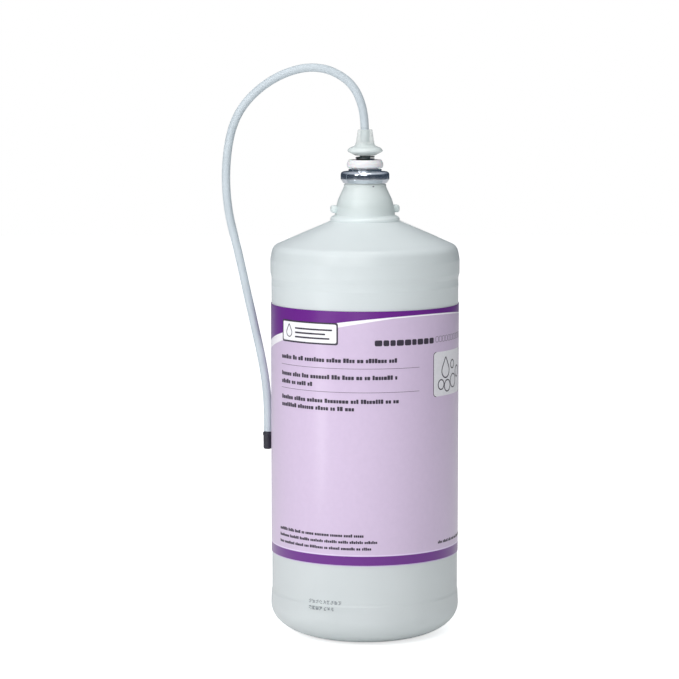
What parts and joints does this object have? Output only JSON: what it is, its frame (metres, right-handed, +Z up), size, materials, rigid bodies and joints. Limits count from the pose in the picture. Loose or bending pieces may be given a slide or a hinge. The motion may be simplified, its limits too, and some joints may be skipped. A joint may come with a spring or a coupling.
{
  "type": "hand soap refill pack",
  "caption": "Round blown plastic soap refill bottle with a crimped-on dosing pump, a spring-returned actuator and a flexible delivery tube ending in a rubber tip.",
  "frame": {"origin": "centre of the bottle's base, on the surface it stands on", "axes": "+Z up along the bottle's axis; the delivery tube bends over towards -X; -Y faces the viewer"},
  "size_m": [0.1287, 0.1026, 0.3105],
  "materials": {
    "milky_plastic": "translucent blown plastic, satin",
    "label_film": "printed film, soft gloss",
    "soap_liquid": "pearly liquid",
    "crimped_metal": "bright polished",
    "white_plastic": "smooth moulded",
    "clear_plastic": "translucent, smooth moulded",
    "spring_steel": "drawn wire",
    "grey_rubber": "smooth",
    "dark_rubber": "smooth",
    "tube_plastic": "flexible, soft gloss"
  },
  "bodies": {
    "pack": {"bottle": "milky_plastic", "label": "label_film", "soap": "soap_liquid", "ferrule": "crimped_metal", "neck_gasket": "grey_rubber", "pump_housing": "white_plastic", "ball_cage": "white_plastic", "spring_cup": "white_plastic", "stem_seal": "dark_rubber", "dip_tube": "clear_plastic"},
    "inlet_valve": {"inlet_ball": "spring_steel"},
    "spring": {"return_spring": "spring_steel"},
    "plunger": {"stem": "white_plastic", "piston": "white_plastic", "piston_ring": "dark_rubber", "actuator": "clear_plastic", "delivery_tube": "tube_plastic", "tube_tip": "dark_rubber"}
  },
  "joints": [
    {"name": "inlet_ball_lift", "type": "slide", "parent": "pack", "child": "inlet_valve", "axis": [0, 0, 1], "range_m": [0, 0.0012]},
    {"name": "stem_swivel", "type": "hinge", "parent": "pack", "child": "spring", "pos_m": [0, 0, 0.2493], "axis": [0, 0, 1], "continuous": true},
    {"name": "plunger_stroke", "type": "slide", "parent": "spring", "child": "plunger", "axis": [0, 0, -1], "range_m": [0, 0.0032], "stiffness_N_per_m": 800, "springref_m": -0.004, "deforming": ["return_spring"]}
  ]
}
